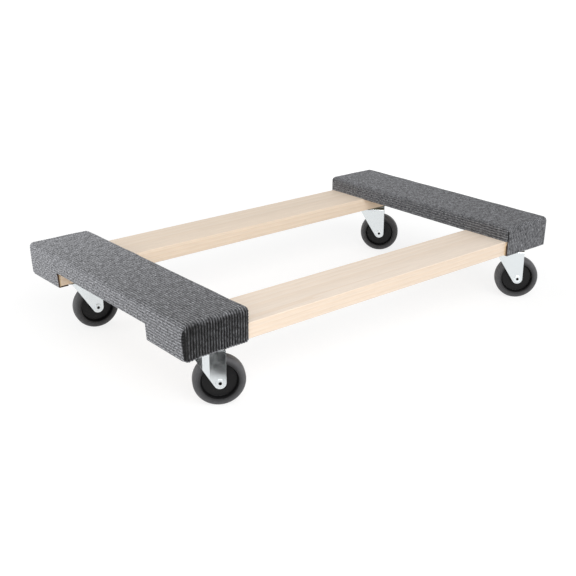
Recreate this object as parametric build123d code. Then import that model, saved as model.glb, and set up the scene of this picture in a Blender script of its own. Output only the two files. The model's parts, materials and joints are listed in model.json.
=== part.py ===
from build123d import *
import os
from math import cos, pi, radians, sin, tan

# Carpet-ended wooden dolly: two rails, two cross boards wrapped in ribbed carpet, four swivel casters.
# Millimetres, +Z up, origin on the floor under the middle of the deck, +X along the rails.
# Front is +X and left is +Y.

# Boards
RAIL_LENGTH = 762.0
RAIL_WIDTH = 90.0
RAIL_THICK = 24.5
RAIL_EDGE_ROUND = 1.2
FRAME_WIDTH = 441.0  # over the outer faces of the two rails
CROSS_WIDTH = 97.0
CROSS_THICK = 20.0

# Carpet
CARPET_THICK = 6.5
CARPET_EDGE_RADIUS = 7.0  # outside rounding where it turns over the cross board's top edges
CARPET_CORNER_RADIUS = 8.5  # outside rounding of the upright corners
CARPET_TRIM = 0.8  # its trimmed edges hang this far below the cross board between the rails
TAB_THICK = 3.0  # the end flap is folded under each rail end, pressed to this thickness
TAB_INSET = 3.0  # the folded tab is cut back by this much from the rail's sides
TAB_GAP = 2.5  # between the folded tab and the caster plate
TAB_FOLD = 2.6  # outside rounding of that fold

# Fasteners of the deck
FIT = 0.05  # gap round a fastener in its own hole
DECK_SCREW_RADIUS = 2.25
DECK_SCREW_HEAD_RADIUS = 4.2
DECK_SCREW_HEAD_DEPTH = 2.6
DECK_SCREW_SPACING = 40.0
DECK_SCREW_COVER = 6.0  # wood left under the tip
STAPLE_WIDTH = 11.0
STAPLE_WIRE = 1.2
STAPLE_BITE = 8.0  # depth of the legs in the wood
STAPLE_PITCH = 28.0
STAPLES_PER_TAB = 3

# Caster plate and its screws
SWIVEL_INSET = 50.0  # swivel axis from the rail's end, on the rail's centre line
PLATE_LENGTH = 70.0
PLATE_WIDTH = 84.0
PLATE_THICK = 2.5
PLATE_CORNER = 6.0
PLATE_HOLE_INSET = 10.0
DISH_DEPTH = 4.0
DISH_FLOOR_RADIUS = 19.0
DISH_SLOPE = 3.0  # the dish's wall runs out by this much from floor to rim
DISH_WALL = 1.25  # level distance between the two faces of that wall
PLATE_SCREW_RADIUS = 2.5
PLATE_SCREW_HEAD_RADIUS = 4.8
PLATE_SCREW_HEAD_HEIGHT = 3.0
PLATE_SCREW_HEAD_ROUND = 1.5
PLATE_SCREW_COVER = 4.5  # wood left over the tip

# Swivel
KINGPIN_RADIUS = 3.5
KINGPIN_HEAD_RADIUS = 8.0
KINGPIN_HEAD_THICK = 2.2
KINGPIN_END_RADIUS = 6.0
KINGPIN_END_HEIGHT = 3.4
KINGPIN_END_ROUND = 2.6
RUNNING_FIT = 0.06  # radial clearance of a shaft in its bore
UPPER_BALL_RADIUS = 2.5
UPPER_BALL_CIRCLE = 15.0
UPPER_BALLS = 16
LOWER_BALL_RADIUS = 1.25
LOWER_BALLS = 11
BALL_CLEARANCE = 0.12
RACE_SHARE = 0.35  # share of a ball's radius that sits in each race
LOWER_RACE_THICK = 2.2
LOWER_RACE_LIP = 0.9

# Fork
FORK_THICK = 2.3
CROWN_RADIUS = 20.0
CROWN_NOSE = 13.0  # the legs reach this far ahead of the swivel axis
CROWN_LIP = 2.0  # height of a leg's front edge under the crown
CROWN_INNER_BEND = 2.2  # inside bend radius between crown and legs
TRAIL_LENGTH = 28.0
BOSS_RADIUS = 9.0
SIDE_CLEARANCE = 0.35  # between the wheel's hub and each leg
FIRST_BEND_SHARE = 0.37  # the legs bend inwards at these shares of the wheel's radius ahead of the axle,
SECOND_BEND_SHARE = 0.63  # so that the bent part stays clear of the rim
FIRST_BEND_ANGLE = 8.0
SECOND_BEND_ANGLE = 16.0

# Wheel and axle
WHEEL_RADIUS = 38.1
WHEEL_HEADROOM = 12.6  # between the wheel and the crown
TREAD_WIDTH = 22.0
SHOULDER = 7.0
RIM_DEPTH = 10.6
WEB_THICK = 8.0
DISH_RUN = 2.5  # the web's wall runs in by this much from rim to web
HUB_RADIUS = 11.0
HUB_PROUD = 1.6
BUSH_WALL = 2.0
AXLE_RADIUS = 4.0
AXLE_WALL = 1.6
AXLE_FLANGE_RADIUS = 6.4
AXLE_FLANGE_THICK = 1.3
AXLE_FLANGE_ROUND = 0.8

# Where the casters stand at rest: corner signs, and the turn of the wheel's trail from +X
CASTERS = {
    "front_left": (1, 1, -46.8),
    "front_right": (1, -1, -42.0),
    "rear_left": (-1, 1, -12.2),
    "rear_right": (-1, -1, -29.8),
}
ENDS = {"front": 1, "rear": -1}
SIDES = {"left": 1, "right": -1}

# Depths in the caster, counted down from the plate's top face
DISH_UNDERSIDE = -(DISH_DEPTH + PLATE_THICK)
UPPER_BALL_Z = DISH_UNDERSIDE - UPPER_BALL_RADIUS * (1 - RACE_SHARE)
CROWN_TOP = UPPER_BALL_Z - UPPER_BALL_RADIUS * (1 - RACE_SHARE)
CROWN_UNDERSIDE = CROWN_TOP - FORK_THICK
LOWER_BALL_Z = CROWN_UNDERSIDE - LOWER_BALL_RADIUS * (1 - RACE_SHARE)
LOWER_RACE_TOP = LOWER_BALL_Z - LOWER_BALL_RADIUS * (1 - RACE_SHARE)
LOWER_RACE_UNDERSIDE = LOWER_RACE_TOP - LOWER_RACE_THICK
AXLE_Z = CROWN_UNDERSIDE - WHEEL_HEADROOM - WHEEL_RADIUS
LOWER_BALL_CIRCLE = KINGPIN_RADIUS + RUNNING_FIT + BALL_CLEARANCE + LOWER_BALL_RADIUS
LOWER_RACE_RADIUS = LOWER_BALL_CIRCLE + LOWER_BALL_RADIUS + LOWER_RACE_LIP

# Heights and faces of the deck
RAIL_BOTTOM = WHEEL_RADIUS - AXLE_Z
RAIL_TOP = RAIL_BOTTOM + RAIL_THICK
CROSS_TOP = RAIL_TOP + CROSS_THICK
RAIL_END = RAIL_LENGTH / 2
RAIL_OUTER = FRAME_WIDTH / 2
RAIL_INNER = RAIL_OUTER - RAIL_WIDTH
RAIL_CENTRE = RAIL_OUTER - RAIL_WIDTH / 2
CROSS_INNER = RAIL_END - CROSS_WIDTH
CROSS_CENTRE = RAIL_END - CROSS_WIDTH / 2
SWIVEL_X = RAIL_END - SWIVEL_INSET
TAB_END = SWIVEL_X + PLATE_LENGTH / 2 + TAB_GAP

# Widths across the wheel and fork, from the wheel's middle plane
HUB_HALF = TREAD_WIDTH / 2 + HUB_PROUD
LEG_INNER = HUB_HALF + SIDE_CLEARANCE
LEG_OUTER = LEG_INNER + FORK_THICK
BUSH_BORE = AXLE_RADIUS + RUNNING_FIT
BUSH_RADIUS = BUSH_BORE + BUSH_WALL


def box_between(x0, x1, y0, y1, z0, z1):
    """Box given by its opposite faces."""
    middle = Pos((x0 + x1) / 2, (y0 + y1) / 2, (z0 + z1) / 2)
    return middle * Box(abs(x1 - x0), abs(y1 - y0), abs(z1 - z0))


def rod(radius, z0, z1):
    """Upright cylinder between two heights."""
    return Pos(0, 0, (z0 + z1) / 2) * Cylinder(radius, abs(z1 - z0))


def turned(*points):
    """Solid turned about Z from a closed outline of (radius, height) points."""
    outline = Plane.XZ * make_face(Polyline(*points, close=True))
    return revolve(outline, Axis.Z)


def ball_race(circle, radius, height):
    """Ring to be cut out as a groove for balls."""
    return Pos(0, 0, height) * Torus(circle, radius + BALL_CLEARANCE)


def ball_ring(count, circle, radius, height):
    """Separate balls spaced round a circle."""
    balls = []
    for i in range(count):
        turn = 2 * pi * i / count
        balls.append(Pos(circle * cos(turn), circle * sin(turn), height) * Sphere(radius))
    return Compound(balls)


# Deck


def deck_screw(gap=0.0):
    """Countersunk wood screw with its head's top at the origin, or its hole when a gap is given."""
    tip = -(CROSS_THICK + RAIL_THICK - DECK_SCREW_COVER) - gap
    neck = -DECK_SCREW_HEAD_DEPTH - gap
    shank = DECK_SCREW_RADIUS + gap
    head = DECK_SCREW_HEAD_RADIUS + gap
    return turned((0, 0), (head, 0), (shank, neck), (shank, tip), (0, tip))


def deck_screw_places(end, side):
    """Tops of the four screws through one end of a cross board."""
    corner = Pos(end * CROSS_CENTRE, side * RAIL_CENTRE, CROSS_TOP)
    return [corner * spot for spot in GridLocations(DECK_SCREW_SPACING, DECK_SCREW_SPACING, 2, 2)]


def plate_screw(gap=0.0):
    """Pan-headed wood screw pointing up, with its seat at the origin, or its hole when a gap is given."""
    tip = PLATE_THICK + RAIL_THICK - PLATE_SCREW_COVER + gap
    shank = rod(PLATE_SCREW_RADIUS + gap, 0, tip)
    if gap:
        return shank
    head = rod(PLATE_SCREW_HEAD_RADIUS, -PLATE_SCREW_HEAD_HEIGHT, 0)
    crown = head.faces().sort_by(Axis.Z)[0].edges()
    return shank + fillet(crown, PLATE_SCREW_HEAD_ROUND)


def plate_holes():
    """Places of a plate's four screw holes about its middle."""
    return GridLocations(PLATE_LENGTH - 2 * PLATE_HOLE_INSET, PLATE_WIDTH - 2 * PLATE_HOLE_INSET, 2, 2)


def plate_screw_places(end, side):
    """Seats of the four screws of one caster plate."""
    corner = Pos(end * SWIVEL_X, side * RAIL_CENTRE, RAIL_BOTTOM - PLATE_THICK)
    return [corner * spot for spot in plate_holes()]


def staple():
    """Staple pointing up, with the outer face of its bridge at the origin's height."""
    half = STAPLE_WIDTH / 2
    wire = STAPLE_WIRE / 2
    bridge = box_between(-wire, wire, -half, half, 0, STAPLE_WIRE)
    legs = [
        box_between(-wire, wire, side * half, side * (half - STAPLE_WIRE), 0, TAB_THICK + STAPLE_BITE)
        for side in SIDES.values()
    ]
    return bridge + legs


def staple_places(end, side):
    """Bridges of the staples under the folded tab of one rail end."""
    middle = Pos(end * (RAIL_END + TAB_END) / 2, side * RAIL_CENTRE, RAIL_BOTTOM - TAB_THICK)
    return [middle * spot for spot in GridLocations(0, STAPLE_PITCH, 1, STAPLES_PER_TAB)]


def rail(side):
    """One lengthwise board with the holes of every fastener that goes into it."""
    near, far = side * RAIL_INNER, side * RAIL_OUTER
    board = box_between(-RAIL_END, RAIL_END, near, far, RAIL_BOTTOM, RAIL_TOP)
    board = fillet(board.edges().filter_by(Axis.X), RAIL_EDGE_ROUND)
    for end in ENDS.values():
        board -= [place * deck_screw(FIT) for place in deck_screw_places(end, side)]
        board -= [place * plate_screw(FIT) for place in plate_screw_places(end, side)]
        board -= [place * staple() for place in staple_places(end, side)]
    return board


def cross_board(end):
    """One board across the rail ends, drilled for its screws."""
    board = box_between(end * CROSS_INNER, end * RAIL_END, -RAIL_OUTER, RAIL_OUTER, RAIL_TOP, CROSS_TOP)
    for side in SIDES.values():
        board -= [place * deck_screw(FIT) for place in deck_screw_places(end, side)]
    return board


def deck_screws(end):
    """All the screws of one cross board."""
    places = [place for side in SIDES.values() for place in deck_screw_places(end, side)]
    return Compound([place * deck_screw() for place in places])


def carpet_staples(end):
    """All the staples of one carpet."""
    places = [place for side in SIDES.values() for place in staple_places(end, side)]
    return Compound([place * staple() for place in places])


def carpet(end):
    """Carpet wrapped over one cross board, with flaps over the rail ends and tabs folded under."""
    outside = end * (RAIL_END + CARPET_THICK)
    inside = end * (CROSS_INNER - CARPET_THICK)
    board_face = end * CROSS_INNER
    edge = RAIL_OUTER + CARPET_THICK
    outermost = -1 if end > 0 else 0
    cap = box_between(inside, outside, -edge, edge, RAIL_TOP, CROSS_TOP + CARPET_THICK)
    cap = fillet(cap.edges().filter_by(Axis.Z), CARPET_CORNER_RADIUS)
    cap = fillet(cap.faces().sort_by(Axis.Z)[-1].edges(), CARPET_EDGE_RADIUS)
    # below the cross board the side flaps end in a straight cut edge
    skirt = box_between(inside, outside, -edge, edge, RAIL_BOTTOM, RAIL_TOP)
    skirt = fillet(skirt.edges().filter_by(Axis.Z).group_by(Axis.X)[outermost], CARPET_CORNER_RADIUS)
    wrap = cap + skirt
    wrap -= box_between(board_face, end * RAIL_END, -RAIL_OUTER, RAIL_OUTER, RAIL_BOTTOM, CROSS_TOP)
    wrap -= box_between(inside, board_face, -RAIL_OUTER, RAIL_OUTER, RAIL_BOTTOM, RAIL_TOP)
    trimmed_edge = RAIL_TOP - CARPET_TRIM
    wrap += box_between(inside, board_face, -RAIL_INNER, RAIL_INNER, trimmed_edge, RAIL_TOP)
    wrap -= box_between(end * RAIL_END, outside, -RAIL_INNER, RAIL_INNER, RAIL_BOTTOM, trimmed_edge)
    for side in SIDES.values():
        near, far = side * (RAIL_INNER + TAB_INSET), side * (RAIL_OUTER - TAB_INSET)
        tab = box_between(outside, end * TAB_END, near, far, RAIL_BOTTOM - TAB_THICK, RAIL_BOTTOM)
        fold = tab.edges().filter_by(Axis.Y).group_by(Axis.Z)[0].sort_by(Axis.X)[outermost]
        wrap += fillet(fold, TAB_FOLD)
    return wrap - carpet_staples(end)


# Caster, built about its swivel axis with the plate's top at height 0 and the wheel trailing along +X


def caster_plate():
    """Pressed plate: flat rim with four holes and a dished middle that carries the upper race."""
    sheet = box_between(
        -PLATE_LENGTH / 2, PLATE_LENGTH / 2, -PLATE_WIDTH / 2, PLATE_WIDTH / 2, -PLATE_THICK, 0
    )
    sheet = fillet(sheet.edges().filter_by(Axis.Z), PLATE_CORNER)
    rim = DISH_FLOOR_RADIUS + DISH_SLOPE
    skirt = turned(
        (0, -PLATE_THICK),
        (rim + DISH_WALL, -PLATE_THICK),
        (DISH_FLOOR_RADIUS + DISH_WALL, DISH_UNDERSIDE),
        (0, DISH_UNDERSIDE),
    )
    hollow = turned((0, 0), (rim, 0), (DISH_FLOOR_RADIUS, -DISH_DEPTH), (0, -DISH_DEPTH))
    pin_hole = rod(KINGPIN_RADIUS + FIT, DISH_UNDERSIDE, 0)
    plate = sheet + skirt - hollow - pin_hole
    plate -= ball_race(UPPER_BALL_CIRCLE, UPPER_BALL_RADIUS, UPPER_BALL_Z)
    return plate - [spot * rod(PLATE_SCREW_RADIUS + FIT, -PLATE_THICK, 0) for spot in plate_holes()]


def kingpin():
    """Rivet that hangs in the dish, runs through the crown and closes under the lower race."""
    bottom = LOWER_RACE_UNDERSIDE - KINGPIN_END_HEIGHT
    head = rod(KINGPIN_HEAD_RADIUS, -DISH_DEPTH, -DISH_DEPTH + KINGPIN_HEAD_THICK)
    shank = rod(KINGPIN_RADIUS, LOWER_RACE_UNDERSIDE, -DISH_DEPTH)
    closed_end = rod(KINGPIN_END_RADIUS, bottom, LOWER_RACE_UNDERSIDE)
    closed_end = fillet(closed_end.faces().sort_by(Axis.Z)[0].edges(), KINGPIN_END_ROUND)
    return head + shank + closed_end


def lower_race():
    """Thick washer that holds the lower balls up against the crown."""
    washer = rod(LOWER_RACE_RADIUS, LOWER_RACE_UNDERSIDE, LOWER_RACE_TOP)
    washer -= rod(KINGPIN_RADIUS + FIT, LOWER_RACE_UNDERSIDE, LOWER_RACE_TOP)
    return washer - ball_race(LOWER_BALL_CIRCLE, LOWER_BALL_RADIUS, LOWER_BALL_Z)


def leg_outline(half_width, rear, front):
    """Plan of the fork's hood: straight beside the wheel, bent in twice towards the nose."""
    first = TRAIL_LENGTH - FIRST_BEND_SHARE * WHEEL_RADIUS
    second = TRAIL_LENGTH - SECOND_BEND_SHARE * WHEEL_RADIUS
    at_second = half_width - (first - second) * tan(radians(FIRST_BEND_ANGLE))
    at_front = at_second - (second - front) * tan(radians(SECOND_BEND_ANGLE))
    upper = [(rear, half_width), (first, half_width), (second, at_second), (front, at_front)]
    lower = [(x, -y) for x, y in reversed(upper)]
    return make_face(Polyline(*upper, *lower, close=True))


def hood(half_width, rear, front, top, bend):
    """Block with the fork's plan, its long top edges rounded like a sheet-metal bend."""
    depth = top - (AXLE_Z - BOSS_RADIUS)
    block = extrude(Pos(0, 0, top) * leg_outline(half_width, rear, front), -depth)
    top_edges = block.faces().sort_by(Axis.Z)[-1].edges()
    return fillet(top_edges.filter_by(Axis.Y, reverse=True), bend)


def fork():
    """Pressed fork: round crown with a race, and two legs whose front edges slope down to the axle."""
    rear = TRAIL_LENGTH + BOSS_RADIUS
    nose = -CROWN_NOSE
    overrun = FORK_THICK
    outer_bend = CROWN_INNER_BEND + FORK_THICK
    outer = hood(LEG_OUTER, rear + overrun, nose, CROWN_TOP, outer_bend)
    inner = hood(LEG_INNER, rear + 2 * overrun, nose - overrun, CROWN_UNDERSIDE, CROWN_INNER_BEND)
    boss = Pos(TRAIL_LENGTH, AXLE_Z) * Circle(BOSS_RADIUS)
    lip = CROWN_UNDERSIDE - CROWN_LIP
    crown_side = Polyline((nose, lip), (nose, CROWN_TOP), (rear, CROWN_TOP), (rear, AXLE_Z))
    side_view = Plane.XZ * make_hull([*boss.edges(), *crown_side.edges()])
    legs = (outer - inner) & extrude(side_view, LEG_OUTER, both=True)
    crown = rod(CROWN_RADIUS, CROWN_UNDERSIDE, CROWN_TOP)
    pin_hole = rod(KINGPIN_RADIUS + RUNNING_FIT, CROWN_UNDERSIDE, CROWN_TOP)
    body = legs + crown - pin_hole
    body -= ball_race(UPPER_BALL_CIRCLE, UPPER_BALL_RADIUS, UPPER_BALL_Z)
    body -= ball_race(LOWER_BALL_CIRCLE, LOWER_BALL_RADIUS, LOWER_BALL_Z)
    return body - on_axle(rod(AXLE_RADIUS + FIT, -LEG_OUTER, LEG_OUTER))


def on_axle(piece):
    """Lays a piece turned about Z on the axle."""
    return Pos(TRAIL_LENGTH, 0, AXLE_Z) * Rot(90, 0, 0) * piece


def axle():
    """Hollow rivet through both legs, with a rolled flange outside each."""
    end = LEG_OUTER + AXLE_FLANGE_THICK
    body = rod(AXLE_RADIUS, -end, end)
    for side in SIDES.values():
        flange = rod(AXLE_FLANGE_RADIUS, side * LEG_OUTER, side * end)
        outer_face = flange.faces().sort_by(Axis.Z)[-1 if side > 0 else 0]
        body += fillet(outer_face.edges(), AXLE_FLANGE_ROUND)
    return on_axle(body - rod(AXLE_RADIUS - AXLE_WALL, -end, end))


def wheel():
    """One-piece wheel: rounded tread, deep dished web on both sides, hub bored for the bush."""
    half = TREAD_WIDTH / 2
    web = WEB_THICK / 2
    rim = WHEEL_RADIUS - RIM_DEPTH
    body = rod(WHEEL_RADIUS, -half, half)
    body = fillet(body.edges().filter_by(GeomType.CIRCLE), SHOULDER)
    for side in SIDES.values():
        body -= turned(
            (HUB_RADIUS, side * HUB_HALF),
            (rim, side * HUB_HALF),
            (rim, side * half),
            (rim - DISH_RUN, side * web),
            (HUB_RADIUS, side * web),
        )
    body += rod(HUB_RADIUS, -HUB_HALF, HUB_HALF)
    return on_axle(body - rod(BUSH_RADIUS + FIT, -HUB_HALF, HUB_HALF))


def bush():
    """Steel sleeve in the hub that turns on the axle."""
    return on_axle(rod(BUSH_RADIUS, -HUB_HALF, HUB_HALF) - rod(BUSH_BORE, -HUB_HALF, HUB_HALF))


def upper_balls():
    """Balls between the plate's dish and the crown, which carry the load."""
    return ball_ring(UPPER_BALLS, UPPER_BALL_CIRCLE, UPPER_BALL_RADIUS, UPPER_BALL_Z)


def lower_balls():
    """Small balls between the crown and the lower race, which hold the fork up."""
    return ball_ring(LOWER_BALLS, LOWER_BALL_CIRCLE, LOWER_BALL_RADIUS, LOWER_BALL_Z)


# Assembly

nodes = {}
for side_name, side in SIDES.items():
    nodes[f"{side_name}_rail"] = rail(side)
for end_name, end in ENDS.items():
    nodes[f"{end_name}_cross_board"] = cross_board(end)
    nodes[f"{end_name}_carpet"] = carpet(end)
    nodes[f"{end_name}_deck_screws"] = deck_screws(end)
    nodes[f"{end_name}_carpet_staples"] = carpet_staples(end)

fixed_parts = {"plate": caster_plate(), "kingpin": kingpin(), "lower_race": lower_race()}
turning_parts = {
    "fork": fork(),
    "axle": axle(),
    "wheel": wheel(),
    "bush": bush(),
    "upper_balls": upper_balls(),
    "lower_balls": lower_balls(),
}
for caster, (end, side, turn) in CASTERS.items():
    swivel = Pos(end * SWIVEL_X, side * RAIL_CENTRE, RAIL_BOTTOM)
    for part_name, part in fixed_parts.items():
        nodes[f"{caster}_{part_name}"] = swivel * part
    for part_name, part in turning_parts.items():
        nodes[f"{caster}_{part_name}"] = swivel * Rot(0, 0, turn) * part
    screws = [place * plate_screw() for place in plate_screw_places(end, side)]
    nodes[f"{caster}_plate_screws"] = Compound(screws)

os.makedirs("parts", exist_ok=True)
for node, shape in nodes.items():
    export_step(shape, f"parts/{node}.step")

top = CROSS_TOP + CARPET_THICK
print("nodes", len(nodes), "rail bottom", round(RAIL_BOTTOM, 3), "top", round(top, 3))
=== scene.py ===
# %% [markdown]
# # A carpet-ended wooden dolly
#
# Movers roll furniture on a flat dolly like this one. Two planed rails run lengthwise, a cross board is
# screwed over each end, ribbed carpet is wrapped round both boards so that nothing gets scratched, and a
# small swivel caster stands under each corner. The sizes and places come from a CAD frame, which stays as it
# is. This lesson gives every piece its finish, makes the carpet as a wrapped cloth with real ribs, and sets
# up a plain studio to look at it in.

# %% Load the frame
import json
import math

import bmesh
import bpy
import numpy as np
from mathutils import Matrix, Vector, noise


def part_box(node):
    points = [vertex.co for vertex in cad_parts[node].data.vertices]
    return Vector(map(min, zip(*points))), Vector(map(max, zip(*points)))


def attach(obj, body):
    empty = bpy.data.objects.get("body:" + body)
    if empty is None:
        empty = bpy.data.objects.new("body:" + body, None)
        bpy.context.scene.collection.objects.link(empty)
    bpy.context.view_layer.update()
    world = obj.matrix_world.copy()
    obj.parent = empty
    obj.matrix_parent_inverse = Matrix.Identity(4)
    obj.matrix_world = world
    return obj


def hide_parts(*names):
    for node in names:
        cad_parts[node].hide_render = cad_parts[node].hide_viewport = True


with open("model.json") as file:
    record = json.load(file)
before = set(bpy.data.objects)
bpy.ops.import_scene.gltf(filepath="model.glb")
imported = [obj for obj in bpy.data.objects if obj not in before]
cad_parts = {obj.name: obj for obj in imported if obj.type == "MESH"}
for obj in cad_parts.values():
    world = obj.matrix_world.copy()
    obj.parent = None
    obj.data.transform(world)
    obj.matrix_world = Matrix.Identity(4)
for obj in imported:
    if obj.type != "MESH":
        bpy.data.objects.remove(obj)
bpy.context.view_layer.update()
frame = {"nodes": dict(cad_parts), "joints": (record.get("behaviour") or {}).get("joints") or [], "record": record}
nodes = frame["nodes"]
MM = 0.001

# %% [markdown]
# ## Colours and nodes
#
# Colours are written as sRGB hex values, the way a paint program shows them, and Blender's shaders work in
# linear light, so one function converts them. Materials are built from nodes, and one small function adds a
# node, sets it up and fills its sockets with numbers or links. Texture scales are worked out from real sizes
# in millimetres: the frame is in metres, so a feature of 2 mm repeats 500 times in one unit.

# %% Colour and node helpers
MIX_FACTOR, MIX_A, MIX_B, MIX_RESULT = 0, 6, 7, 2  # colour sockets of the Mix node
MOST_NOISE = {"From Min": 0.3, "From Max": 0.7}  # most values of a noise texture lie in this range


def linear(hex_colour):
    """The linear RGBA of an sRGB hex value."""
    channels = [int(hex_colour[i : i + 2], 16) / 255 for i in (1, 3, 5)]
    return [c / 12.92 if c <= 0.04045 else ((c + 0.055) / 1.055) ** 2.4 for c in channels] + [1.0]


def add(tree, kind, inputs=None, **settings):
    """Adds a shader node with its settings; each input is a number, a colour or a socket to link."""
    node = tree.nodes.new("ShaderNode" + kind)
    for name, value in settings.items():
        setattr(node, name, value)
    for socket, value in (inputs or {}).items():
        if isinstance(value, bpy.types.NodeSocket):
            tree.links.new(value, node.inputs[socket])
        else:
            node.inputs[socket].default_value = value
    return node


def new_material(name, **constants):
    """A material with its node tree and Principled shader, whose constant sockets are set by name."""
    material = bpy.data.materials.new(name)
    material.use_nodes = True
    shader = material.node_tree.nodes["Principled BSDF"]
    for socket, value in constants.items():
        shader.inputs[socket.replace("_", " ")].default_value = value
    return material, material.node_tree, shader


def per_unit(size_mm):
    """Texture scale that makes features of this size."""
    return 1 / (size_mm * MM)


print("white is", linear("#ffffff"))

# %% [markdown]
# ## Planed pine
#
# The rails are bare pine, planed smooth and not varnished. Pine gives the eye a pale, warm, matt surface with
# faint growth lines along the board, where early wood is pale and late wood a little darker, and with very
# fine streaks of fibre. The sides are painted with more late wood than the top, as painted warm bounce light,
# so they look a little warmer. An image texture could do this, but rings worked out round the log's heart
# follow the board on every face, so the lines on the top and on the sides belong to one piece of wood.

# %% Planed pine
GROWTH_RING_MM = 7.0
WAVE_PERIOD = math.pi / 10  # spacing of a wave texture's rings at a scale of 1
FIBRE_MM = 1.6  # real fibres are far finer; this is about the finest that shows in the picture
CLOUD_MM = 55.0  # paler and darker stretches of a board
GRAIN_STRETCH = 22.0  # how much longer than wide the marks of the grain are
# the sides are painted warmer than the top, as painted warm bounce light
LATE_SHARE = 0.3  # how far the colour goes towards late wood within a ring,
SIDE_PAINTED_BOUNCE_LIGHT = 0.22  # and how much further on the sides
GRAIN_SHADES = {"To Min": 0.95, "To Max": 1.04}
PORE_DEPTH = 0.06 * MM


def planed_pine(name, heart_mm, early, late):
    """Bare planed pine, with growth rings about a heart given by its (y, z) place."""
    material, tree, shader = new_material(name, Roughness=0.58)
    board = add(tree, "TexCoord").outputs
    heart = (0, -heart_mm[0] * MM, -heart_mm[1] * MM)
    log = add(tree, "Mapping", {"Vector": board["Object"], "Location": heart}).outputs[0]
    grain = add(tree, "Mapping", {"Vector": log, "Scale": (1 / GRAIN_STRETCH, 1, 1)}).outputs[0]
    rings = add(
        tree,
        "TexWave",
        {"Vector": grain, "Scale": WAVE_PERIOD * per_unit(GROWTH_RING_MM), "Distortion": 5.0,
         "Detail": 3.0, "Detail Scale": 0.35, "Detail Roughness": 0.6},
        wave_type="RINGS",
        rings_direction="X",
        wave_profile="SAW",
    )
    fibres = add(tree, "TexNoise", {"Vector": grain, "Scale": per_unit(FIBRE_MM), "Detail": 3.0})
    clouds = add(tree, "TexNoise", {"Vector": grain, "Scale": per_unit(CLOUD_MM), "Detail": 2.0})
    ringed = add(tree, "MapRange", {"Value": rings.outputs["Fac"], "To Max": LATE_SHARE})
    # painted warm bounce light: faces turned sideways get more of the late wood's colour
    facing = add(tree, "SeparateXYZ", {0: board["Normal"]})
    sideways = add(tree, "Math", {0: facing.outputs["Y"]}, operation="ABSOLUTE")
    bounce_painted = add(tree, "Math", {0: sideways.outputs[0], 1: SIDE_PAINTED_BOUNCE_LIGHT, 2: ringed.outputs[0]},
                 operation="MULTIPLY_ADD")
    wood = add(tree, "Mix", {MIX_FACTOR: bounce_painted.outputs[0], MIX_A: linear(early), MIX_B: linear(late)},
               data_type="RGBA")
    streaky = add(tree, "MapRange", {"Value": fibres.outputs["Fac"], **MOST_NOISE, **GRAIN_SHADES})
    cloudy = add(tree, "MapRange", {"Value": clouds.outputs["Fac"], **MOST_NOISE, **GRAIN_SHADES})
    shade = add(tree, "Math", {0: streaky.outputs[0], 1: cloudy.outputs[0]}, operation="MULTIPLY")
    tone = add(tree, "VectorMath", {0: wood.outputs[MIX_RESULT], "Scale": shade.outputs[0]},
               operation="SCALE")
    pores = add(tree, "Bump", {"Height": fibres.outputs["Fac"], "Distance": PORE_DEPTH, "Strength": 0.5})
    tree.links.new(tone.outputs[0], shader.inputs["Base Color"])
    tree.links.new(pores.outputs[0], shader.inputs["Normal"])
    return material


right_pine = planed_pine("planed_pine_right", (-205, 40), "#f2e3d3", "#e2c8ab")
left_pine = planed_pine("planed_pine_left", (150, 30), "#f1e1cf", "#e0c5a5")
board_pine = planed_pine("sawn_pine_boards", (0, 60), "#dcc6a8", "#bf9a6c")
print("pine with rings", GROWTH_RING_MM, "mm apart")

# %% [markdown]
# ## Zinc-plated steel
#
# Forks, plates and axles are pressed from sheet steel and plated with bright zinc. Zinc is a bluish white
# metal; plated sheet is smooth but not polished, so it mirrors the room softly, and the plating bath leaves a
# slightly uneven gloss. A metal's colour comes from its reflection, so metallic is 1 and only the roughness
# varies. Pressed sheet has no razor edges, so a Bevel node rounds the shading at each edge and bend, which
# gives them the thin bright line that real ones have. The axles are hollow rivets of the same steel, dulled
# where the riveting tool has closed them. Their bores are painted dark grey, as painted shade inside the hole;
# that is a matter of distance from the axis, which the frame's joints know. The plates are painted a dark
# olive grey all over, as painted shade and a painted dark reflection of the shaded gap under the rails. The
# screws and staples are plated wire, a little duller, and the balls and bushes are ground steel in brown
# grease, their dark colour also standing in for painted shade.

# %% Plated and bare steel
EDGE_ROUND = 0.6 * MM
EDGE_SAMPLES = 4
RIPPLE_DEPTH = 0.01 * MM
BORE_RADIUS = 2.5 * MM
BORE_PAINTED_SHADE = "#64615b"
ZINC_WHITE = "#e2e7e9"
JOINTS = {joint["name"]: joint for joint in frame["joints"]}
CASTERS = [name.replace("_wheel_spin", "") for name in JOINTS if name.endswith("_wheel_spin")]


def from_axle(tree, hub):
    """A socket with the distance from a joint's axis, for paint that goes round with a wheel."""
    place = add(tree, "TexCoord").outputs["Object"]
    arm = add(tree, "VectorMath", {0: place, 1: hub["pos_m"]}, operation="SUBTRACT")
    aside = add(tree, "VectorMath", {0: arm.outputs[0], 1: hub["axis"]}, operation="CROSS_PRODUCT")
    return add(tree, "VectorMath", {0: aside.outputs[0]}, operation="LENGTH").outputs["Value"]


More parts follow.
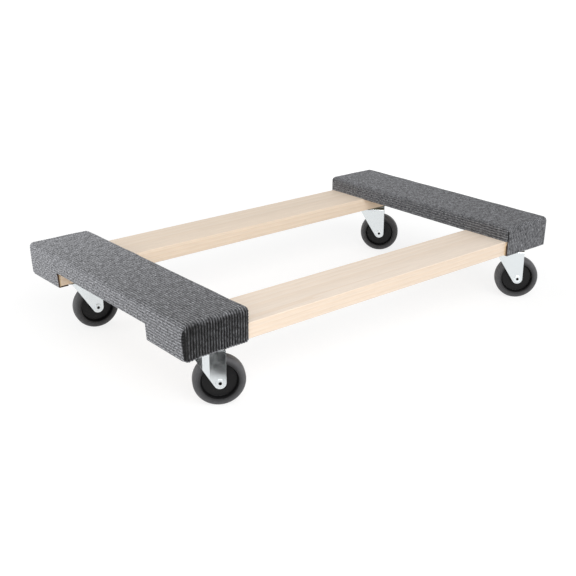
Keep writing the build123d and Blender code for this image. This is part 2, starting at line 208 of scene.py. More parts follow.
def plated_steel(name, colour, gloss, cloud_mm, hub=None):
    """Metal whose roughness drifts over patches of a size, with the bore on a hub's axis, if any, painted dark as
    painted shade.
    """
    material, tree, shader = new_material(name, Metallic=1.0, Base_Color=linear(colour))
    place = add(tree, "TexCoord").outputs["Object"]
    cloud = add(tree, "TexNoise", {"Vector": place, "Scale": per_unit(cloud_mm), "Detail": 4.0})
    rough = add(tree, "MapRange", {"Value": cloud.outputs["Fac"], **MOST_NOISE,
                                   "To Min": gloss[0], "To Max": gloss[1]})
    edges = add(tree, "Bevel", {"Radius": EDGE_ROUND}, samples=EDGE_SAMPLES).outputs[0]
    ripple = add(tree, "Bump", {"Height": cloud.outputs["Fac"], "Distance": RIPPLE_DEPTH, "Strength": 0.2,
                                "Normal": edges})
    tree.links.new(rough.outputs[0], shader.inputs["Roughness"])
    tree.links.new(ripple.outputs[0], shader.inputs["Normal"])
    if hub:
        # painted shade: the bore is painted dark grey near the axis
        outside = add(tree, "Math", {0: from_axle(tree, hub), 1: BORE_RADIUS}, operation="GREATER_THAN")
        steel = add(tree, "Mix", {MIX_FACTOR: outside.outputs[0], MIX_A: linear(BORE_PAINTED_SHADE),
                                  MIX_B: linear(colour)}, data_type="RGBA")
        tree.links.new(steel.outputs[MIX_RESULT], shader.inputs["Base Color"])
    return material


zinc_plate = plated_steel("bright_zinc_plate", ZINC_WHITE, (0.16, 0.23), 9.0)
# painted shade and painted dark reflection: the plates are dark olive grey all over
plate_painted_shade = plated_steel("greased_zinc_plate", "#6e6857", (0.3, 0.45), 6.0)
screw_zinc = plated_steel("zinc_plated_wire", "#b9bcbd", (0.34, 0.5), 2.5)
# grease and painted shade: the balls and bushes are dark brown
bearing_steel = plated_steel("greased_bearing_steel", "#5a5346", (0.2, 0.34), 3.0)
hollow_zinc = {}
for caster in CASTERS:
    hub = JOINTS[f"{caster}_wheel_spin"]
    hollow_zinc[f"{caster}_axle"] = plated_steel(f"hollow_zinc_{caster}", ZINC_WHITE, (0.42, 0.52), 3.0, hub)
print("steels made, with", len(hollow_zinc), "hollow rivets")

# %% [markdown]
# ## Moulded wheel
#
# Each wheel is moulded in one piece from black polyolefin, a hard-wearing, waxy plastic. The dished web is
# painted a deeper black, as painted shade in the recess, while the rounded tread and rim are a dull grey,
# partly from wear and partly as painted light that the rounded tread catches. The two differ by their distance
# from the axle, so the paint is worked out from that, as the rivets' bores were, and rolls with the wheel.
# The moulding tool's fine texture keeps the plastic from looking like glass.

# %% Moulded black polyolefin
TOOL_TEXTURE_MM = 1.2
DUST_MM = 6.0
# painted shade in the web, and wear with painted light on the tread, set by distance from the axle
WEB_RADIUS = 26.0 * MM
WEAR_AND_LIGHT_RADIUS = 36.5 * MM
WEB_BLACKS_AND_PAINTED_SHADE = ("#070708", "#121213")
TREAD_WEAR_AND_PAINTED_LIGHT = ("#4e4e50", "#666668")
MOULD_ROUND = 1.2 * MM
SKIN_DEPTH = 0.05 * MM


def moulded_polyolefin(name, hub):
    """Satin black plastic with painted shade in the web, grey at the tread for wear and painted light, for the
    wheel that spins on the given joint.
    """
    material, tree, shader = new_material(name, IOR=1.5, Specular_IOR_Level=0.25)
    place = add(tree, "TexCoord").outputs["Object"]
    # painted shade in the web, painted light and wear on the tread
    wear_and_light = add(tree, "MapRange", {"Value": from_axle(tree, hub), "From Min": WEB_RADIUS,
                                    "From Max": WEAR_AND_LIGHT_RADIUS}).outputs[0]
    dust = add(tree, "TexNoise", {"Vector": place, "Scale": per_unit(DUST_MM), "Detail": 5.0}).outputs["Fac"]
    texture = add(tree, "TexNoise", {"Vector": place, "Scale": per_unit(TOOL_TEXTURE_MM), "Detail": 2.0})
    web, tread = (
        add(tree, "Mix", {MIX_FACTOR: dust, MIX_A: linear(dark), MIX_B: linear(pale)}, data_type="RGBA")
        for dark, pale in (WEB_BLACKS_AND_PAINTED_SHADE, TREAD_WEAR_AND_PAINTED_LIGHT)
    )
    colour = add(tree, "Mix", {MIX_FACTOR: wear_and_light, MIX_A: web.outputs[MIX_RESULT],
                               MIX_B: tread.outputs[MIX_RESULT]}, data_type="RGBA")
    rough = add(tree, "MapRange", {"Value": wear_and_light, "To Min": 0.38, "To Max": 0.5})
    edges = add(tree, "Bevel", {"Radius": MOULD_ROUND}, samples=EDGE_SAMPLES).outputs[0]
    skin = add(tree, "Bump", {"Height": texture.outputs["Fac"], "Distance": SKIN_DEPTH, "Strength": 0.4,
                              "Normal": edges})
    tree.links.new(colour.outputs[MIX_RESULT], shader.inputs["Base Color"])
    tree.links.new(rough.outputs[0], shader.inputs["Roughness"])
    tree.links.new(skin.outputs[0], shader.inputs["Normal"])
    return material


wheel_plastics = {}
for caster in CASTERS:
    hub = JOINTS[f"{caster}_wheel_spin"]
    wheel_plastics[f"{caster}_wheel"] = moulded_polyolefin(f"moulded_{caster}", hub)
print("plastic for", sorted(wheel_plastics))

# %% [markdown]
# ## Finishes on the frame
#
# Every CAD piece names a material slot in the record, so one loop dresses them all. Each rail gets its own
# cut of wood, each axle and wheel the finish that knows its axis, and the plates the zinc painted dark as
# painted shade. The CAD carpets get nothing here, because cloth takes their place further down.

# %% Dress the CAD pieces
FINISHES = {
    "rail_wood": right_pine,
    "board_wood": board_pine,
    "zinc_plated_steel": zinc_plate,
    "screw_steel": screw_zinc,
    "bearing_steel": bearing_steel,
}
OWN_FINISHES = {"left_rail": left_pine, **hollow_zinc, **wheel_plastics}
# the plates get the zinc painted dark as painted shade
OWN_FINISHES.update({f"{caster}_plate": plate_painted_shade for caster in CASTERS})


def dress(piece, material):
    """Makes a material the only one on a piece."""
    piece.data.materials.clear()
    piece.data.materials.append(material)


dressed = 0
for subpart in frame["record"]["subparts"]:
    name = subpart["node"]
    finish = OWN_FINISHES.get(name) or FINISHES.get(subpart["material_slot"])
    if finish:
        dress(nodes[name], finish)
        dressed += 1
print("dressed", dressed, "pieces")

# %% [markdown]
# ## Needle-punched carpet
#
# The ends wear needle-punched polypropylene carpet: loose fibres in several greys are felted by barbed
# needles, which also press them into parallel ribs. The eye sees a heather of pale and dark flecks and a soft
# matt surface with a slight sheen. The ribs are real geometry, further down, and the material only holds
# what is finer than a rib: the flecks and the fluff. Two values stored on the mesh help it: cloth is a
# point's place in the flat cloth, so that the flecks follow the ribs round every fold, and tone is how light
# the carpet is painted there, which holds painted light and painted shade as well as patches of its own tone.

# %% Face of the carpet
FLECK_MM = 1.6  # tufts of one colour; single fibres are a tenth of that and would not show
FLECK_STRETCH = 3.0  # tufts lie along the ribs
FLECK_SPAN = {"From Min": 0.36, "From Max": 0.64}
FLECK_DARK, FLECK_PALE = "#2e2f32", "#a8a9ad"
FLUFF_MM = 1.0
FLUFF_DEPTH = 0.8 * MM


def needle_punched_carpet(name):
    """Heather-grey felt of pale and dark fibres."""
    material, tree, shader = new_material(
        name, Roughness=0.95, IOR=1.45, Specular_IOR_Level=0.25, Sheen_Weight=0.15, Sheen_Roughness=0.45
    )
    place = add(tree, "TexCoord").outputs["Object"]
    cloth = add(tree, "Attribute", attribute_name="cloth").outputs["Vector"]
    tone = add(tree, "Attribute", attribute_name="tone").outputs["Fac"]
    laid = add(tree, "Mapping", {"Vector": cloth, "Scale": (1, 1 / FLECK_STRETCH, 1)}).outputs[0]
    fleck = add(tree, "TexNoise", {"Vector": laid, "Scale": per_unit(FLECK_MM), "Detail": 3.0,
                                   "Roughness": 0.7})
    fluff = add(tree, "TexNoise", {"Vector": place, "Scale": per_unit(FLUFF_MM), "Detail": 3.0})
    share = add(tree, "MapRange", {"Value": fleck.outputs["Fac"], **FLECK_SPAN})
    heather = add(tree, "Mix", {MIX_FACTOR: share.outputs[0], MIX_A: linear(FLECK_DARK),
                                MIX_B: linear(FLECK_PALE)}, data_type="RGBA")
    # tone carries the painted light and painted shade worked out on the mesh
    colour = add(tree, "VectorMath", {0: heather.outputs[MIX_RESULT], "Scale": tone}, operation="SCALE")
    pile = add(tree, "Bump", {"Height": fluff.outputs["Fac"], "Distance": FLUFF_DEPTH, "Strength": 0.9})
    tree.links.new(colour.outputs[0], shader.inputs["Base Color"])
    tree.links.new(pile.outputs[0], shader.inputs["Normal"])
    return material


carpet_face = needle_punched_carpet("needle_punched_carpet")
print("carpet face with flecks of", FLECK_MM, "mm")

# %% [markdown]
# ## Raw felt and latex
#
# Where the knife has cut through the carpet, the edge is brown felt, and behind it comes the pale latex coat
# that holds the fibres. A third value on the mesh, coat, is 1 on the coated back and 0 on the face, so it
# tells how deep in the carpet a point of the edge lies, and no separate strip of mesh is needed. On the tabs
# it stays 0, because their pressed edges show dark felt and no latex.

# %% Back and cut edge of the carpet
FELT_MM = 1.5
FELT_DARK, FELT_PALE, LATEX = "#33271f", "#5d4a3d", "#cdb999"
FELT_DEPTH = 0.5 * MM
COAT_START = 0.55  # how far through the carpet the latex begins,
COAT_FULL = 0.65  # and where there is nothing else


def felt_edge(name):
    """Raw felt that ends in a latex coat."""
    material, tree, shader = new_material(name, Roughness=0.95, Specular_IOR_Level=0.2)
    place = add(tree, "TexCoord").outputs["Object"]
    fibres = add(tree, "TexNoise", {"Vector": place, "Scale": per_unit(FELT_MM), "Detail": 4.0})
    felt = add(tree, "Mix", {MIX_FACTOR: fibres.outputs["Fac"], MIX_A: linear(FELT_DARK),
                             MIX_B: linear(FELT_PALE)}, data_type="RGBA")
    depth = add(tree, "Attribute", attribute_name="coat").outputs["Fac"]
    coated = add(tree, "MapRange", {"Value": depth, "From Min": COAT_START, "From Max": COAT_FULL})
    colour = add(tree, "Mix", {MIX_FACTOR: coated.outputs[0], MIX_A: felt.outputs[MIX_RESULT],
                               MIX_B: linear(LATEX)}, data_type="RGBA")
    pile = add(tree, "Bump", {"Height": fibres.outputs["Fac"], "Distance": FELT_DEPTH, "Strength": 0.8})
    tree.links.new(colour.outputs[MIX_RESULT], shader.inputs["Base Color"])
    tree.links.new(pile.outputs[0], shader.inputs["Normal"])
    return material


carpet_back = felt_edge("carpet_latex_back")
carpet_cut = felt_edge("carpet_cut_edge")
print("latex from", COAT_START, "of the way through")

# %% [markdown]
# ## Cutting the carpet
#
# Each carpet is one cross-shaped cut: a top, a drop over the outer end, a shorter drop over the inner face,
# and a flap over each short end, with tabs that fold under the rail ends. A cloth simulation would have to
# be told every fold, and would blur the ribs, so the cloth is laid out on the faces of the wrapped board
# instead and its edges are rounded by a formula. Places on it are counted in mm: across the board from its
# inner face, along the board from its middle, and down from the top.

# %% Sizes of the wrapped board
RAIL_CLEAR = 0.1  # the inner drop ends this far above the rails,
LOW_BETWEEN = 0.9  # and hangs this much lower between them
TAB_INSET = 3.0  # a tab is this much narrower than the rail on its outer side,
STAPLES_PROUD = 0.2  # the staples stand out of it by this much,
PLATE_CLEAR = 2.5  # and it ends this far from the caster's plate
BOARD_GAP = 0.15  # between the carpet's back and the board
TURN = 8.0  # outside radius where the carpet turns over an edge

carpet_low, carpet_high = (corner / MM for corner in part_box("front_carpet"))
board_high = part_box("front_cross_board")[1] / MM
rail_low, rail_high = (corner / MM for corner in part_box("left_rail"))
plate_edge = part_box("front_left_plate")[1].x / MM
ACROSS = carpet_high.x - carpet_low.x
HALF_LENGTH = carpet_high.y
TOP = carpet_high.z
DROP = TOP - rail_low.z
DROP_TO_RAIL = TOP - rail_high.z - RAIL_CLEAR
DROP_TRIMMED = DROP_TO_RAIL + LOW_BETWEEN
GAP_HALF = rail_low.y  # the drop over the outer end is cut away between the rails
TAB_SIDE = rail_high.y - TAB_INSET
TAB_LEVEL = TOP - carpet_low.z - STAPLES_PROUD
TAB_REACH = carpet_high.x - (plate_edge + PLATE_CLEAR)
THICK = carpet_high.x - board_high.x - BOARD_GAP
print("the wrapped board is", round(ACROSS), "x", round(2 * HALF_LENGTH), "mm, with drops of", round(DROP))

# %% [markdown]
# ## Lines of the mesh
#
# Ribs need several lines of mesh each, or they would look like saw teeth, while along a rib a line every few
# millimetres is enough. So the lines are close across the ribs and wide apart along them, and close again at
# the short ends, where the cloth turns over. Every fold and cut must have a line of its own, so the lines are
# set out from one such mark to the next.

# %% Lines across, along and down
RIBS = 24.4  # ribs across the board
RIB_PITCH = ACROSS / RIBS
RIB_STEPS = 5
ALONG_STEP = 3.6
CORNER_STEP = 0.7
CORNER_REACH = 4.0  # the close lines begin this far before the tab's side


def stops(step, *marks):
    """Values from the first mark to the last, about a step apart, with every mark among them."""
    values = [marks[0]]
    for start, end in zip(marks, marks[1:]):
        count = max(1, round((end - start) / step))
        values += [start + (end - start) * (i + 1) / count for i in range(count)]
    return values


across = stops(RIB_PITCH / RIB_STEPS, 0.0, ACROSS)
down = stops(RIB_PITCH / RIB_STEPS, 0.0, DROP_TO_RAIL, DROP_TRIMMED, DROP)
half = stops(ALONG_STEP, 0.0, GAP_HALF, TAB_SIDE - CORNER_REACH)
half += stops(CORNER_STEP, TAB_SIDE - CORNER_REACH, TAB_SIDE, HALF_LENGTH)[1:]
along = [-b for b in reversed(half)] + half[1:]
print(len(across), "lines across,", len(along), "along and", len(down), "down")
print("ribs", round(RIB_PITCH, 2), "mm apart")

# %% [markdown]
# ## Seams and slack
#
# Where two flaps meet at an upright corner, their edges roll in and leave a dark seam. One of the four gapes
# in the shape of a leaf, as if the flap beside it had been pulled askew, and that flap also hangs lower there
# and has its other lower corner rounded off. The two edges could be modelled as separate lips, but at this
# size the eye only takes in the dark line, so a groove of the right depth and outline does it, and the tone
# paints the seam darker as painted shade.

# %% Seams and sag
SEAM_TOP = 6.0  # a seam starts this far down
SEAM_FADE = 5.0  # and gets to its full depth over this length
SEAM_WIDTH = 2.0
SEAM_DEPTH = 2.2
LEAF_DOWN = (6.0, 10.0, 20.0, 34.0, DROP)
LEAF_WIDTH = (1.0, 4.5, 8.0, 6.5, 4.5)  # on the flap, at those places down the seam,
LEAF_LIP = (1.0, 4.0, 5.0, 5.0, 5.0)  # and on the end drop
LEAF_DEPTH = 3.0
SAG = 3.0  # the open flap hangs lower at the gaping corner,
SAG_REACH = 30.0  # as far as this from it,
LIFT = 4.0  # and its other lower corner is rounded off by so much,
LIFT_REACH = 8.0  # as far as this from it


def seam(a, b, d):
    """How deep the upright seam is at a place, and how far into it that is, from 0 to 1."""
    outer = a > ACROSS / 2
    if d <= SEAM_TOP or (d > DROP_TO_RAIL and not outer):
        return 0.0, 0.0
    flap_side = ACROSS - a if outer else a
    end_side = HALF_LENGTH - abs(b)
    width, depth = SEAM_WIDTH, SEAM_DEPTH
    if outer and b < 0:
        width = float(np.interp(d, LEAF_DOWN, LEAF_WIDTH if end_side > flap_side else LEAF_LIP))
        depth = LEAF_DEPTH
    reach = max(flap_side, end_side) / width
    into = math.sqrt(1 - reach**2) if reach < 1 else 0.0
    into *= min(1.0, (d - SEAM_TOP) / SEAM_FADE)
    return depth * into, into


def sagging(a, b, d):
    """How far a place on the open flap hangs down."""
    below = max(d - DROP_TO_RAIL, 0) / (DROP - DROP_TO_RAIL)
    beside = SAG * max(1 - (ACROSS - a) / SAG_REACH, 0) - LIFT * max(1 - a / LIFT_REACH, 0) ** 2
    free = max(1 - (HALF_LENGTH + b) / (HALF_LENGTH - TAB_SIDE), 0)  # the rest is folded under the rail
    return below * beside * free


print("one seam gapes by", max(LEAF_WIDTH), "mm")

# %% [markdown]
# ## Ribs
#
# The ribs all run one way in the cloth, so they lie along the board on its top and long faces and hang
# straight down on the end flaps. They sink from the surface as narrow grooves between rounded ridges, and as
# the needles never work quite evenly, they stray a little from a straight line. On one flap they are pulled
# open and cut deeper, and that flap is also painted much darker, as painted shade. A bump map could draw
# them, but ribs of real mesh also show in the outline. Each panel has its own values, and where the cloth
# turns from one to the next, they are mixed by the way it faces.

# %% Shape of the surface
RIB_DEPTHS = {"top": 0.7, "outer": 0.7, "inner": 1.0, "open_flap": 1.8, "flap": 0.6}
RIB_ROUNDNESS = 0.7  # below 1, ridges are broad and grooves narrow
WANDER = 0.6  # ribs stray by this much from a straight line,
WANDER_MM = 14.0  # over about this length
WAVE_MM = 50.0
WAVE_HEIGHT = 0.6
TAPER = 2.0  # the end drop is pulled in by this much at its foot, where it turns under the rails
BOARD_CLEAR = 2.9  # no groove goes deeper, so that the board's corners stay covered


def panel_mix(values, normal):
    """Mixes a value of each panel by how far the surface faces that panel's way."""
    facing = {
        "top": max(normal.z, 0),
        "outer": max(normal.x, 0),
        "inner": max(-normal.x, 0),
        "open_flap": max(-normal.y, 0) ** 3,  # its edges already look like the next panel
        "flap": max(normal.y, 0),
    }
    shares = {panel: share**2 for panel, share in facing.items()}
    return sum(values[panel] * share for panel, share in shares.items()) / sum(shares.values())


def ridge_at(place, rib_place):
    """How far up a rib a place is, from 0 in the groove to 1 on the ridge."""
    stray = noise.noise(place / WANDER_MM) * WANDER
    return abs(math.sin(math.pi * (rib_place + stray) / RIB_PITCH))


def height_at(place, normal, ridge, sunk, into):
    """How far the surface stands out from its plain rounded form."""
    wave = noise.noise(place / WAVE_MM) * WAVE_HEIGHT
    ribs = panel_mix(RIB_DEPTHS, normal) * (1 - ridge**RIB_ROUNDNESS) * (1 - into)
    pulled_in = TAPER * max(normal.x, 0) * (place.z / DROP) ** 2
    return max(wave - ribs - sunk, -BOARD_CLEAR) - pulled_in


print("ribs up to", max(RIB_DEPTHS.values()), "mm deep")

# %% [markdown]
# ## Tone, with painted light and shade
#
# Each side of the board is painted lighter or darker, as painted light and shade for the way the light falls
# on it, and the top and inner face are painted lighter towards one end, much more on the rear carpet, as a
# painted light gradient. The tone also changes in small patches where the fibres lie differently. Grooves,
# seams and the tabs under the rails are painted darker as painted shade, the open flap is painted lighter
# towards its foot and its inner side, and the last of each flap is painted pale for its fringe and as painted
# light. A texture could hold this too, but every point of the cloth already knows which panel it is on and
# how far into a groove, so its tone is worked out here and kept on the mesh.

# %% Tone, with painted light and shade
# painted light and shade: each panel is painted lighter or darker for how the light falls on it
PANEL_PAINTED_LIGHT = {"top": 1.21, "outer": 1.66, "inner": 0.95, "open_flap": 0.345, "flap": 1.12}
# painted shade in the grooves of each panel
GROOVE_PAINTED_SHADES = {"top": 0.5, "outer": 0.42, "inner": 0.5, "open_flap": 0.72, "flap": 0.45}
GROOVE_NARROWNESS = 3  # how soon the shade ends above the groove's bottom
DARKEST_GROOVE = 0.05
PATCH_MM = 8.5
PATCHY = {"top": 0.52, "outer": 0.06, "inner": 0.3, "open_flap": 0.55, "flap": 0.42}
LIGHTER_TO_FOOT, LIGHTER_INWARDS = 0.6, 0.35  # the open flap is lighter to its foot and to its inner side
# painted shade: seams are painted darker
SEAM_PAINTED_SHADE = 0.92  # how much light a seam loses,
SEAM_DARK = 0.45  # from this far into it
# the last of each flap is painted pale, for its frayed fringe and as painted light from the floor
FRAYED = 1.0  # the last of each flap is frayed to a pale fringe
FRINGE_PALE_AND_PAINTED_LIGHT = 0.9


def tone_with_painted_light(place, normal, ridge, into, shade, fade, opening):
    """The carpet's tone at a place, with its painted light and painted shade."""
    towards = place.y / HALF_LENGTH
    # painted shade in the grooves, stronger towards one end of the board
    groove = panel_mix(GROOVE_PAINTED_SHADES, normal) * (1 - ridge**GROOVE_NARROWNESS) * (1 + opening * towards)
    # painted light: the top and inner face are painted lighter towards one end
    painted_light_along = fade * towards * (max(normal.z, 0) ** 2 + max(-normal.x, 0) ** 2)
    patch = noise.noise(place / PATCH_MM) * panel_mix(PATCHY, normal)
    foot, inwards = place.z / DROP - 0.5, 0.5 - place.x / ACROSS  # both counted from the flap's middle
    # the open flap is painted lighter towards its foot and its inner side
    lighter_towards = max(-normal.y, 0) * (LIGHTER_TO_FOOT * foot + LIGHTER_INWARDS * inwards)
    tone = shade * panel_mix(PANEL_PAINTED_LIGHT, normal) * (1 + painted_light_along + patch + lighter_towards) * max(1 - groove, DARKEST_GROOVE)
    # painted shade in the seams
    tone *= 1 - SEAM_PAINTED_SHADE * min(1.0, into / SEAM_DARK)
    # pale fringe with painted light at the foot of each flap
    return max(tone, FRINGE_PALE_AND_PAINTED_LIGHT) if place.z > DROP - FRAYED else tone


print("nap in patches of", PATCH_MM, "mm")

# %% [markdown]
# ## Points of the cloth
#
# Now each place on the wrapped board gets its point on the face and its point on the back, a thickness
# below. The plain form is a box with rounded edges: a place is moved to the nearest point of a smaller box,
# and from there outwards by the radius of the turn. The tabs are simpler, a quarter turn under the rail and
# then flat, and the staples press them thinner towards the cut between the rails.

# %% Points on the board and on the tabs
TAB_STEPS = 14
# painted shade: the tabs under the rails are painted darker
TAB_PAINTED_SHADE = 0.5
LIP_SHARE = 0.2  # the back of a tab needs this share of its steps to turn the corner
BACK_BELOW = 0.1  # and then lies this far below the rail
SQUEEZE = 0.8  # the tabs are pressed thinner by this much at the cut between the rails,
SQUEEZE_REACH = 70.0  # as far as this from it


def wrapped(a, b, d, rib_place, run, **nap):
    """Outer point, inner point, tone, place in the cloth and coat, for a place on the wrapped board."""
    # below the board the edge of one flap stands square, and that of the open flap rolls in
    square = min(max((d - DROP_TO_RAIL) / TURN, 0.0), 1.0) if b == HALF_LENGTH else 0.0
    core = Vector((min(max(a, TURN * (1 - square)), ACROSS - TURN),
                   min(max(b, TURN - HALF_LENGTH), HALF_LENGTH - TURN), -max(d, TURN)))
    normal = (Vector((a, b, -d)) - core).normalized()
    place = Vector((a, b, d))
    ridge = ridge_at(place, rib_place)
    sunk, into = seam(a, b, d)
    height = height_at(place, normal, ridge, sunk, into)
    sag = Vector((0, 0, -sagging(a, b, d)))
    outer, inner = (core + normal * far + sag for far in (TURN + height, TURN - THICK))
    return outer, inner, tone_with_painted_light(place, normal, ridge, into, **nap), (rib_place * MM, run * MM, 0), 1.0


def tab_point(b, step):
    """The same five values for a place on the tab folded under a rail end."""
    fold = TAB_LEVEL - DROP - SQUEEZE * max(1 - (abs(b) - GAP_HALF) / SQUEEZE_REACH, 0)
    quarter = fold * math.pi / 2
    share = step / TAB_STEPS
    run = share * (TAB_REACH - TAPER - fold + quarter)
    turn = min(run / fold, math.pi / 2)
    flat = max(0.0, run - quarter)
    outer = Vector((ACROSS - TAPER - fold * (1 - math.cos(turn)) - flat, b, -DROP - fold * math.sin(turn)))
    inner_run = max(0.0, share - LIP_SHARE) / (1 - LIP_SHARE) * (TAB_REACH - THICK)
    inner = Vector((ACROSS - THICK - inner_run, b, -DROP - min(share / LIP_SHARE, 1) * BACK_BELOW))
    return outer, inner, TAB_PAINTED_SHADE, ((ACROSS + DROP + run) * MM, b * MM, 0), 0.0


print("carpet", round(THICK, 2), "mm thick, with tabs of", round(TAB_REACH, 1), "mm")

# %% [markdown]
# ## Laying the cloth
#
# The cloth is a set of grids, one for each side of the board, that share the points where they meet. A grid
# cell is left out where the carpet is cut away. Blender could join separate sheets by merging points that
# lie together, but looking a point up by its place on the board is exact, and folds stay where they are.

# %% Cells of the cloth
def panels():
    """Grids of places on the wrapped board and in the cloth, each with a test of which cells are kept."""
    top = [[(a, b, 0.0, a, b) for b in along] for a in across]
    outer = [[(ACROSS, b, d, ACROSS + d, b) for b in along] for d in down]
    inner = [[(0.0, b, d, -d, b) for b in along] for d in down if d <= DROP_TRIMMED]
    yield top, lambda b, d: True
    yield outer, lambda b, d: abs(b) > GAP_HALF or d < DROP_TRIMMED
    yield inner, lambda b, d: abs(b) < GAP_HALF or d < DROP_TO_RAIL
    for side in (-1, 1):
        flap = [[(a, side * HALF_LENGTH, d, a, side * (HALF_LENGTH + d)) for a in across] for d in down]
        yield flap, lambda b, d: True


def cut_carpet(nap):
    """Points of the outer and inner face, tones, places in the cloth, coats, and the cells of the cloth."""
    index, outside, inside, tones, cloth, coats, cells = {}, [], [], [], [], [], []

    def point(key, make, *place, **looks):
        """The number of the point with this key, which is made if it is new."""
        if key not in index:
            index[key] = len(outside)
            for values, value in zip((outside, inside, tones, cloth, coats), make(*place, **looks)):
                values.append(value)
        return index[key]

    for rows, keep in panels():
        for upper, lower in zip(rows, rows[1:]):
            for i in range(len(upper) - 1):
                corners = (upper[i], upper[i + 1], lower[i + 1], lower[i])
                middle_b = sum(c[1] for c in corners) / 4
                middle_d = sum(c[2] for c in corners) / 4
                if keep(middle_b, middle_d):
                    cells.append([point(c[:3], wrapped, *c, **nap) for c in corners])
    for side in (-1, 1):
        tab = [side * b for b in half if GAP_HALF <= b <= TAB_SIDE]
        for step in range(TAB_STEPS):
            for b0, b1 in zip(tab, tab[1:]):
                corners = ((b0, step), (b1, step), (b1, step + 1), (b0, step + 1))
                cells.append([index[(ACROSS, b, DROP)] if s == 0 else point(("tab", b, s), tab_point, b, s)
                              for b, s in corners])
    return outside, inside, tones, cloth, coats, cells


print("tabs in", TAB_STEPS, "steps")

# %% [markdown]
# ## Closing the mesh
#
# The same cells turned over make the back, and a strip along every open edge joins the two, so each carpet
# is one closed mesh with a real thickness. A Solidify modifier would do much the same, but its back would
# copy every rib, and the back of a real carpet is smooth.

# %% Mesh of a carpet
SHARP_ANGLE = math.radians(60)


def lay_carpet(name, turn, nap):
    """One carpet as a closed mesh: face, back and cut edges, each with its own material."""
    outside, inside, tones, cloth, coats, cells = cut_carpet(nap)
    count = len(outside)
    uses = {}
    for cell in cells:
        for pair in zip(cell, cell[1:] + cell[:1]):
            uses.setdefault(frozenset(pair), []).append(pair)
    rims = [pairs[0] for pairs in uses.values() if len(pairs) == 1]
    faces = cells + [[i + count for i in reversed(cell)] for cell in cells]
    faces += [[p, q, q + count, p + count] for p, q in rims]
    place = Matrix.Rotation(turn, 4, "Z") @ Matrix.Translation((-carpet_high.x, 0, TOP))
    place = place @ Matrix.Scale(-1, 4, (1, 0, 0)) @ Matrix.Translation((-ACROSS, 0, 0))
    mesh = bpy.data.meshes.new(name)
    mesh.from_pydata([(place @ p) * MM for p in outside + inside], [], faces)
    for material in (carpet_face, carpet_back, carpet_cut):
        mesh.materials.append(material)
    kinds = [0] * len(cells) + [1] * len(cells) + [2] * len(rims)
    mesh.polygons.foreach_set("material_index", kinds)
    for label, values in (("tone", tones + tones), ("coat", [0.0] * count + coats)):
        mesh.attributes.new(label, "FLOAT", "POINT").data.foreach_set("value", values)
    in_cloth = mesh.attributes.new("cloth", "FLOAT_VECTOR", "POINT")
    in_cloth.data.foreach_set("vector", np.ravel(cloth + cloth))
    shape = bmesh.new()
    shape.from_mesh(mesh)
    bmesh.ops.recalc_face_normals(shape, faces=shape.faces)
    shape.to_mesh(mesh)
    open_edges = sum(not edge.is_manifold for edge in shape.edges)
    shape.free()
    mesh.shade_smooth()
    mesh.set_sharp_from_angle(angle=SHARP_ANGLE)
    carpet = bpy.data.objects.new(name, mesh)
    bpy.context.scene.collection.objects.link(carpet)
    print(name, "has", len(faces), "faces and", open_edges, "open edges")
    return carpet


print("edges sharper than", round(math.degrees(SHARP_ANGLE)), "degrees stay sharp")

# %% [markdown]
# ## The two carpets
#
# The front carpet is the rear one turned half round, as a maker would fit it, with a slightly darker tone.
# Each replaces its plain CAD solid and stays with the deck.

# %% Front and rear carpet
# each carpet's tone, its painted light gradient along the board, and how the grooves' painted shade changes along
# it
TONE_SETTINGS = {  # how light the nap lies, and how that and the depth of the grooves' shade change along the board
    "rear": {"shade": 1.0, "fade": 0.17, "opening": -0.5},
    "front": {"shade": 0.86, "fade": -0.03, "opening": 0.3},
}
for end, turn in (("rear", 0.0), ("front", math.pi)):
    carpet = lay_carpet(f"{end}_wrapped_carpet", turn, TONE_SETTINGS[end])
    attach(carpet, "deck")
    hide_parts(f"{end}_carpet")

# %% [markdown]
# ## Floor and room
#
# The dolly stands on a plain white sweep in a white room, in soft light with no hard shadow anywhere. Rays
# that come from the camera or from a mirror-like surface see the floor and the room as plain white, while the
# light that falls on the dolly keeps an ordinary level, so the colours come out as written and the floor
# still takes a faint shadow. Turning up the lamps until the floor is white would bleach the pine as well.

# %% White sweep and white room
ROOM_LEVEL = 0.5
FLOOR_SIDE = 60.0
FLOOR_GLOW = (0.78, 1.0)  # under the dolly and well away from it
GLOW_RADIUS = (0.5, 1.2)
FLOOR_SHADE = 0.27  # how much of the light on it the floor adds to its glow
WHITE = linear("#ffffff")


def seen_directly(tree):
    """A socket that is 1 for rays from the camera, from glossy surfaces and through clear ones."""
    rays = add(tree, "LightPath").outputs
    mirror = add(tree, "Math", {0: rays["Is Camera Ray"], 1: rays["Is Glossy Ray"]}, operation="MAXIMUM")
    direct = add(tree, "Math", {0: mirror.outputs[0], 1: rays["Is Transmission Ray"]}, operation="MAXIMUM")
    return direct.outputs[0]


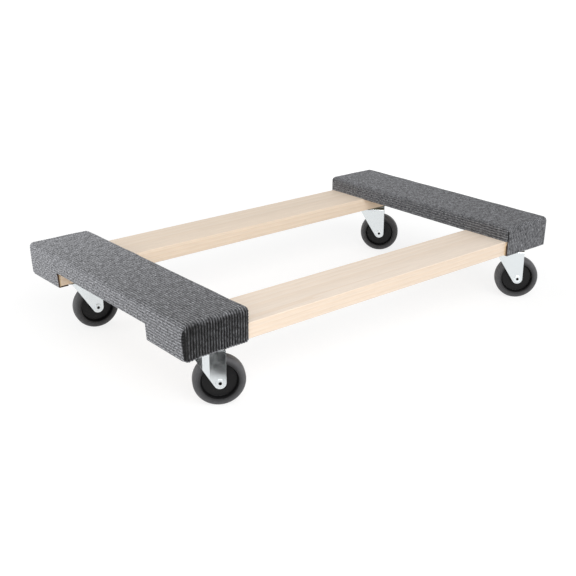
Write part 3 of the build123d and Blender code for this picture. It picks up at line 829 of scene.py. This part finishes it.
def white_sweep(name):
    """Matt white floor that looks plain white and keeps a faint shadow."""
    material = bpy.data.materials.new(name)
    material.use_nodes = True
    tree = material.node_tree
    tree.nodes.clear()
    paper = add(tree, "BsdfDiffuse", {"Color": linear("#e6e6e6")}).outputs[0]
    faint = add(tree, "BsdfDiffuse", {"Color": [FLOOR_SHADE] * 3 + [1]}).outputs[0]
    place = add(tree, "TexCoord").outputs["Object"]
    away = add(tree, "VectorMath", {0: place}, operation="LENGTH").outputs["Value"]
    strength = add(tree, "MapRange", {"Value": away, "From Min": GLOW_RADIUS[0], "From Max": GLOW_RADIUS[1],
                                      "To Min": FLOOR_GLOW[0], "To Max": FLOOR_GLOW[1]}).outputs[0]
    glow = add(tree, "Emission", {"Color": WHITE, "Strength": strength}).outputs[0]
    bright = add(tree, "AddShader", {0: faint, 1: glow}).outputs[0]
    mixed = add(tree, "MixShader", {0: seen_directly(tree), 1: paper, 2: bright}).outputs[0]
    add(tree, "OutputMaterial", {"Surface": mixed})
    return material


bpy.ops.mesh.primitive_plane_add(size=FLOOR_SIDE)
floor = bpy.context.object
floor.name = "studio_floor"
dress(floor, white_sweep("white_paper_sweep"))

room = bpy.data.worlds.new("white_room")
bpy.context.scene.world = room
room.use_nodes = True
tree = room.node_tree
level = add(tree, "MapRange", {"Value": seen_directly(tree), "To Min": ROOM_LEVEL, "To Max": 1.0}).outputs[0]
tree.links.new(level, tree.nodes["Background"].inputs["Strength"])
tree.nodes["Background"].inputs["Color"].default_value = WHITE
print("room level", ROOM_LEVEL)

# %% [markdown]
# ## Black cards
#
# Bright metal shows what it mirrors. In an all-white room a plated fork looks like folded paper, so a
# photographer puts small black cards beside it, which the bent sheet picks up as dark bands. The ones here
# are in front of the nearest caster. They are seen only by glossy rays, so they do not show in the picture
# themselves and take no light from the floor.

# %% Black cards
CARDS = (  # corners in mm: two that lie on the floor, and one that stands
    ((-440, -450, 1), (-300, -450, 1), (-300, -296, 1), (-386, -294, 1), (-412, -332, 1)),
    ((-600, -380, 1), (-452, -292, 1), (-412, -252, 1), (-412, -195, 1), (-600, -150, 1)),
    ((-530, -560, 1), (-410, -560, 1), (-410, -560, 330), (-530, -560, 330)),
)
card_black, _, _ = new_material("matt_black_card", Base_Color=linear("#101010"), Specular_IOR_Level=0.0)


def black_card(name, corners):
    """A matt black card that only glossy rays see."""
    mesh = bpy.data.meshes.new(name)
    mesh.from_pydata([Vector(corner) * MM for corner in corners], [], [range(len(corners))])
    card = bpy.data.objects.new(name, mesh)
    bpy.context.scene.collection.objects.link(card)
    dress(card, card_black)
    for rays in ("camera", "diffuse", "transmission", "volume_scatter", "shadow"):
        setattr(card, f"visible_{rays}", False)


for i, corners in enumerate(CARDS):
    black_card(f"black_card_{i + 1}", corners)
print(len(CARDS), "black cards")

# %% [markdown]
# ## Lamps and camera
#
# One large softbox hangs above and behind the camera, a little to its right, and does nearly all the work. A
# small, weak lamp on the left lifts the end of the rear carpet. Both point at the floor under the middle of
# the dolly. The camera looks down over one corner through a longish lens, which keeps the rails nearly
# parallel. Its place and lens were fitted to the straight edges of the dolly, so they are given as numbers.

# %% Softbox, fill lamp and camera
LENS_MM = 59.64
SENSOR_MM = 36.0
CLIP_END = 100.0
CAMERA_PLACE = Vector((-1.0022, -1.1836, 0.6402))
CAMERA_BACK = Vector((-0.59452, -0.71940, 0.35918))
LAMPS = {  # place, side in metres and watts
    "softbox": (Vector((-0.9, -1.95, 1.5)), 2.2, 52.0),
    "side_fill": (Vector((-1.7, 1.1, 0.75)), 0.8, 7.0),
}


def aim(thing, place, back):
    """Puts a camera or lamp at a place, looking against a direction, with its top up."""
    back = back.normalized()
    right = Vector((0, 0, 1)).cross(back).normalized()
    axes = Matrix((right, back.cross(right), back)).transposed()
    thing.matrix_world = Matrix.Translation(place) @ axes.to_4x4()
    bpy.context.scene.collection.objects.link(thing)


for name, (place, side, watts) in LAMPS.items():
    lamp = bpy.data.lights.new(name, "AREA")
    lamp.size = side
    lamp.energy = watts
    aim(bpy.data.objects.new(name, lamp), place, place)

lens = bpy.data.cameras.new("camera")
lens.lens = LENS_MM
lens.sensor_width = SENSOR_MM
lens.clip_end = CLIP_END
camera = bpy.data.objects.new("camera", lens)
aim(camera, CAMERA_PLACE, CAMERA_BACK)
bpy.context.scene.camera = camera
bpy.context.scene.view_settings.view_transform = "Standard"
print("camera at", [round(v, 3) for v in camera.location])
